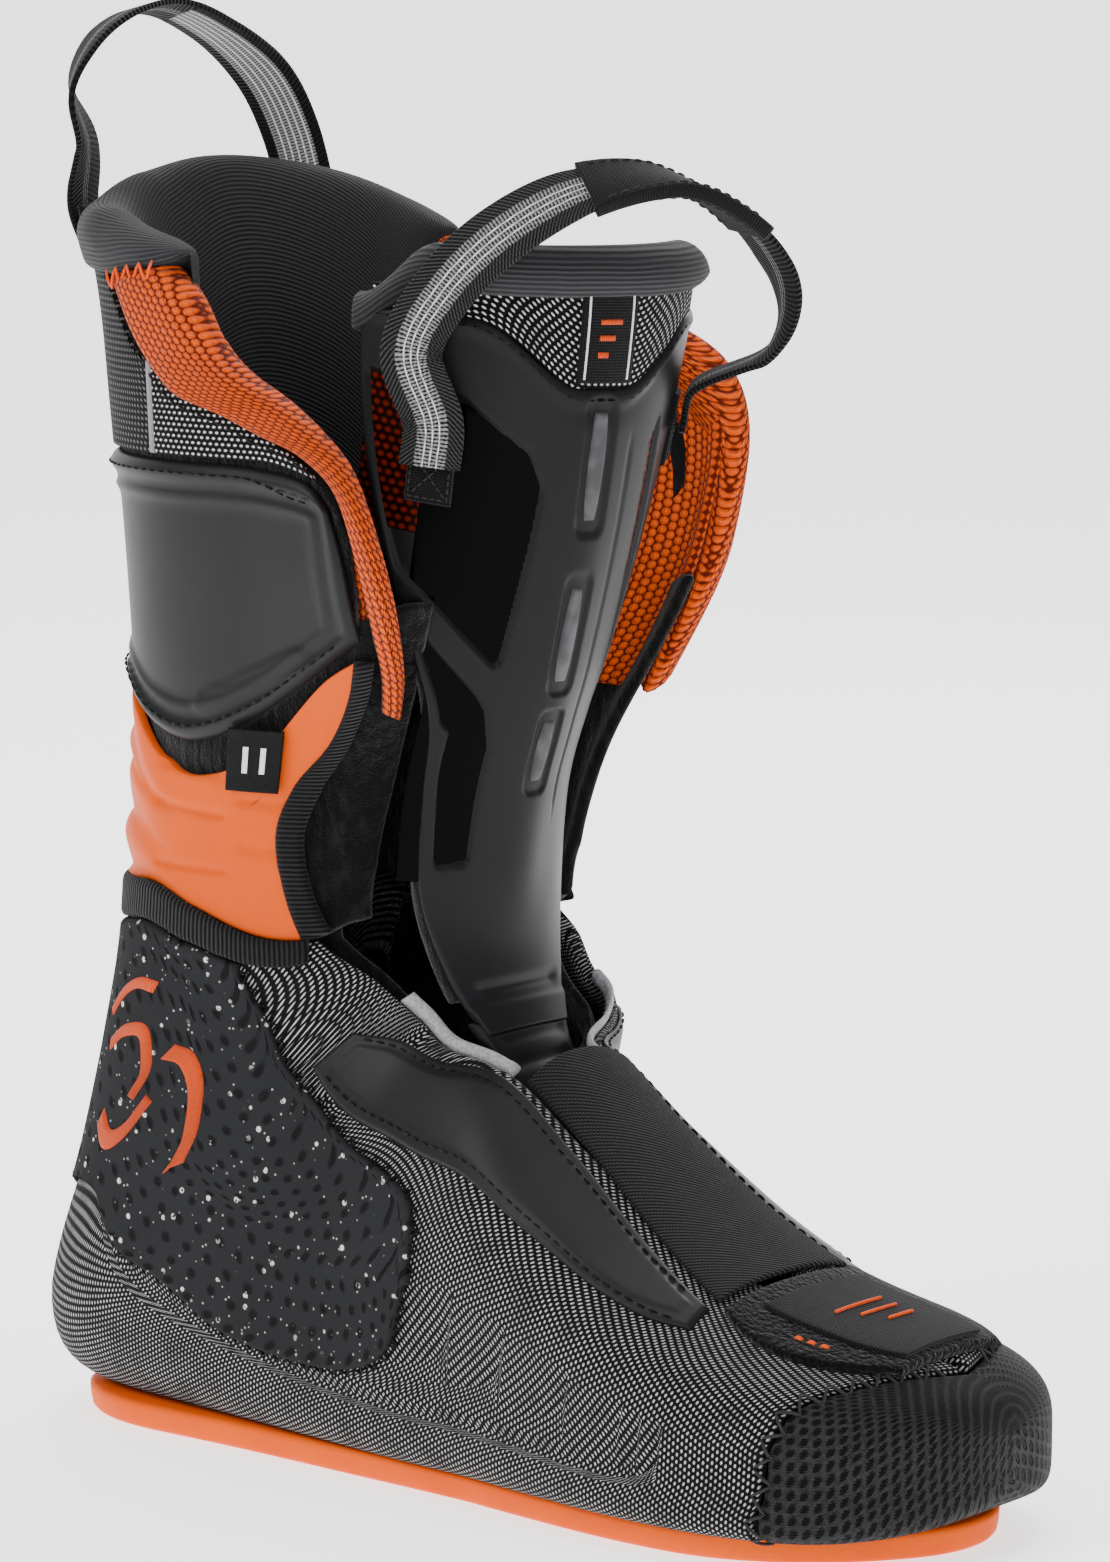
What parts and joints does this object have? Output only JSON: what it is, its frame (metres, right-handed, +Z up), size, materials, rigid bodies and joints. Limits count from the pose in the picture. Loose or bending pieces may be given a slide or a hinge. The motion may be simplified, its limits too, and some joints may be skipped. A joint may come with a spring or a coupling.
{
  "type": "ski boot inner liner",
  "caption": "Inner boot for a ski-touring boot: knit foot with a flexing padded cuff, a hinged shielded tongue and two pull loops.",
  "frame": {"origin": "on the floor under the middle of the plan box", "axes": "+X to the toe, +Y to the inner side of the foot, +Z up"},
  "size_m": [0.286, 0.1264, 0.3613],
  "materials": {
    "sole": "orange outsole foam, fine cross texture",
    "footbed": "felt footbed",
    "upper_knit": "black mesh with small staggered white dots",
    "toe_knit": "black honeycomb knit",
    "moulded_foam": "dark grey moulded foam with light flecks and round dimples",
    "grey_panel": "smooth dark grey moulded sheet",
    "elastic": "dark woven elastic",
    "black_fleece": "black brushed lining",
    "tape": "black ribbed tape",
    "plush": "grey plush",
    "orange_thread": "orange satin stitching",
    "orange_stretch": "smooth orange stretch sheet",
    "rear_mesh": "black open mesh over orange",
    "orange_mesh": "orange spacer mesh with dark holes",
    "collar_knit": "black fine ribbed stretch knit",
    "tag": "grey woven tag with plain light bars",
    "shield": "dark grey moulded tongue shield",
    "film": "glossy black film",
    "insert": "light grey rubber",
    "webbing": "grey and black webbing"
  },
  "bodies": {
    "foot": {"outsole": "sole", "footbed": "footbed", "foot_shell": "upper_knit", "toe_cap": "toe_knit", "heel_pad": "moulded_foam", "instep_patch_outer": "grey_panel", "instep_patch_inner": "grey_panel", "instep_band": "elastic", "loop_patch": "black_fleece", "throat_facing_outer": "plush", "throat_facing_inner": "plush", "heel_bar_long": "orange_thread", "heel_bar_top": "orange_thread", "heel_bar_mid": "orange_thread", "heel_bar_low": "orange_thread", "binding_ankle": "tape", "flex_panel": "orange_stretch", "ankle_lining": "black_fleece", "binding_front_outer": "tape", "binding_front_inner": "tape", "tongue_base": "shield"},
    "cuff": {"cuff_foam": "black_fleece", "cuff_panel": "grey_panel", "mesh_panel_outer": "upper_knit", "mesh_panel_inner": "upper_knit", "rear_panel": "rear_mesh", "piping_outer": "tape", "piping_inner": "tape", "edge_pad_outer": "orange_mesh", "edge_pad_inner": "orange_mesh", "flap_facing_outer": "orange_mesh", "flap_facing_inner": "orange_mesh", "collar": "collar_knit", "collar_lining": "collar_knit", "size_tag": "tag", "loop_patch_rear_outer": "tape", "loop_patch_rear_inner": "tape"},
    "tongue": {"tongue_shield": "shield", "window_high_outer": "film", "window_low_outer": "film", "window_high_inner": "film", "window_low_inner": "film", "shield_insert_1": "insert", "shield_insert_2": "insert", "shield_insert_3": "insert", "tongue_foam": "black_fleece", "tongue_mesh": "upper_knit", "tongue_label": "tape", "tongue_roll": "collar_knit", "loop_patch_tongue_outer": "tape", "loop_patch_tongue_inner": "tape"},
    "tongue_pull": {"tongue_loop": "webbing", "loop_sleeve": "tape"},
    "rear_pull": {"rear_loop": "webbing"},
    "tab": {"toe_tab": "tape"}
  },
  "joints": [
    {"name": "cuff_flex", "type": "hinge", "parent": "foot", "child": "cuff", "pos_m": [-0.068, 0, 0.104], "axis": [0, 1, 0], "range_deg": [-8, 14], "stiffness_Nm_per_rad": 3, "deforming": ["flex_panel", "ankle_lining", "binding_front_outer", "binding_front_inner"]},
    {"name": "tongue_open", "type": "hinge", "parent": "foot", "child": "tongue", "pos_m": [0.0026, -0.0063, 0.11586], "axis": [0, 1, 0], "range_deg": [-2, 35], "stiffness_Nm_per_rad": 0.8},
    {"name": "tongue_loop_turn", "type": "hinge", "parent": "tongue", "child": "tongue_pull", "pos_m": [0.0098, -0.00322, 0.25404], "axis": [0.2323, 0.9701, 0.0701], "range_deg": [0, 60], "stiffness_Nm_per_rad": 0.1},
    {"name": "rear_loop_turn", "type": "hinge", "parent": "cuff", "child": "rear_pull", "pos_m": [-0.11385, 0.00769, 0.30093], "axis": [-0.2877, -0.9576, -0.013], "range_deg": [-4, 65], "stiffness_Nm_per_rad": 0.1},
    {"name": "toe_tab_lift", "type": "hinge", "parent": "foot", "child": "tab", "pos_m": [0.0898, -0.00608, 0.05727], "axis": [0, -1, 0], "range_deg": [0, 60], "stiffness_Nm_per_rad": 0.02}
  ]
}
